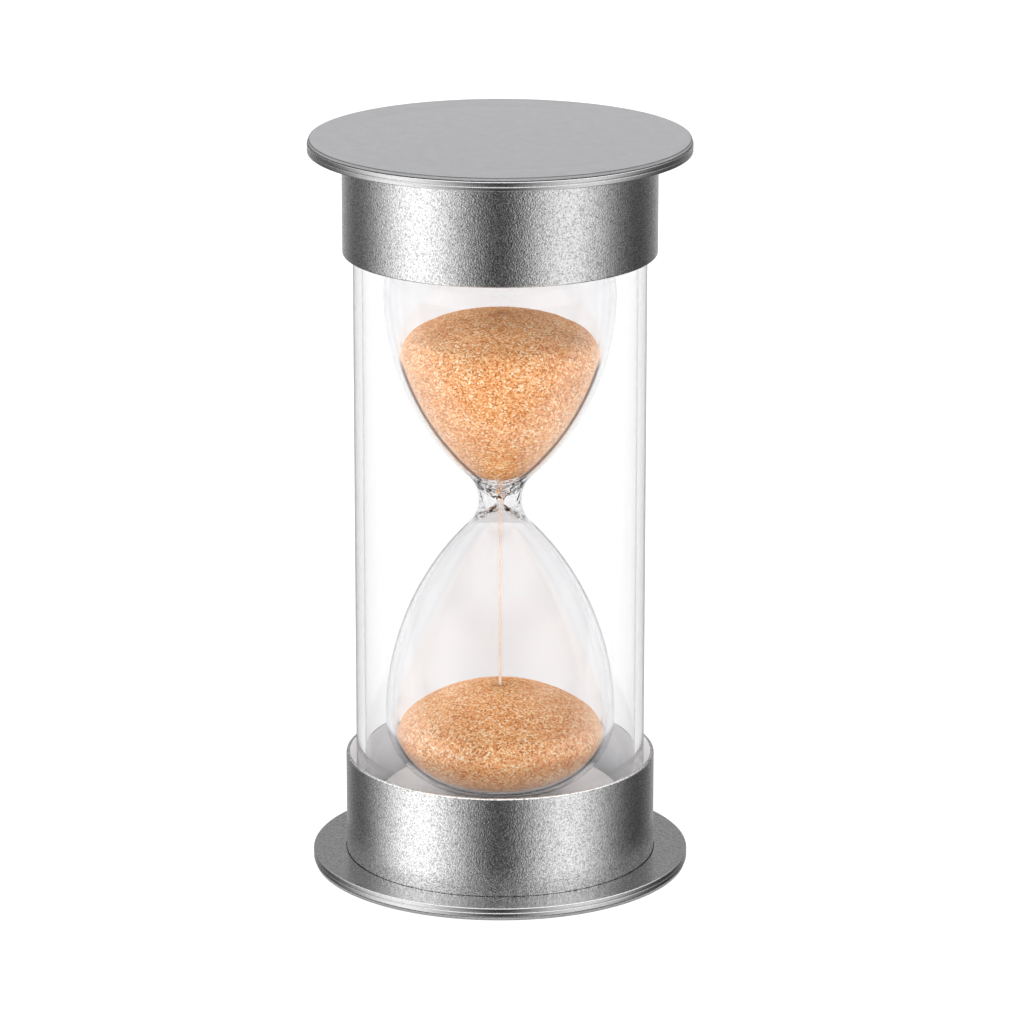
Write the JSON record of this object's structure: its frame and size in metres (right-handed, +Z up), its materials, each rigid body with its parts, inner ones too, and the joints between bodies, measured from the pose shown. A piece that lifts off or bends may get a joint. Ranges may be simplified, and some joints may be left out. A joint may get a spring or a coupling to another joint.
{
  "type": "hourglass",
  "caption": "Cylindrical hourglass: double glass bulb with copper sand in a clear tube between round silver caps with wide flanges.",
  "frame": {"origin": "centre of the bottom face of the base grip disc, on the surface it stands on", "axes": "+Z up along the axis of the tube and bulb; X and Y are equivalent, the base screws start on +X"},
  "size_m": [0.066, 0.066, 0.13],
  "materials": {
    "grip_rubber": "smooth satin grey non-slip sheet",
    "screw_steel": "plain machined",
    "satin_metal": "fine bead-blasted with a bright turned rim",
    "blasted_metal": "coarse sparkling sandblasted silver",
    "insert_plastic": "moulded, satin",
    "white_foam": "closed-cell foam",
    "black_rubber": "matte",
    "clear_tube": "clear, polished",
    "bulb_glass": "clear, flame polished",
    "stopper_plastic": "moulded",
    "copper_sand": "fine dry grains"
  },
  "bodies": {
    "root": {"base_grip_disc": "grip_rubber", "top_grip_disc": "grip_rubber", "base_screws": "screw_steel", "top_screws": "screw_steel", "base_plate": "satin_metal", "top_plate": "satin_metal", "base_collar": "blasted_metal", "top_collar": "blasted_metal", "base_insert": "insert_plastic", "top_insert": "insert_plastic", "base_cushion": "white_foam", "top_cushion": "white_foam", "base_gasket": "black_rubber", "top_gasket": "black_rubber", "outer_tube": "clear_tube", "glass_vessel": "bulb_glass", "fill_stopper": "stopper_plastic", "upper_sand": "copper_sand", "lower_sand": "copper_sand", "sand_stream": "copper_sand"}
  },
  "joints": []
}
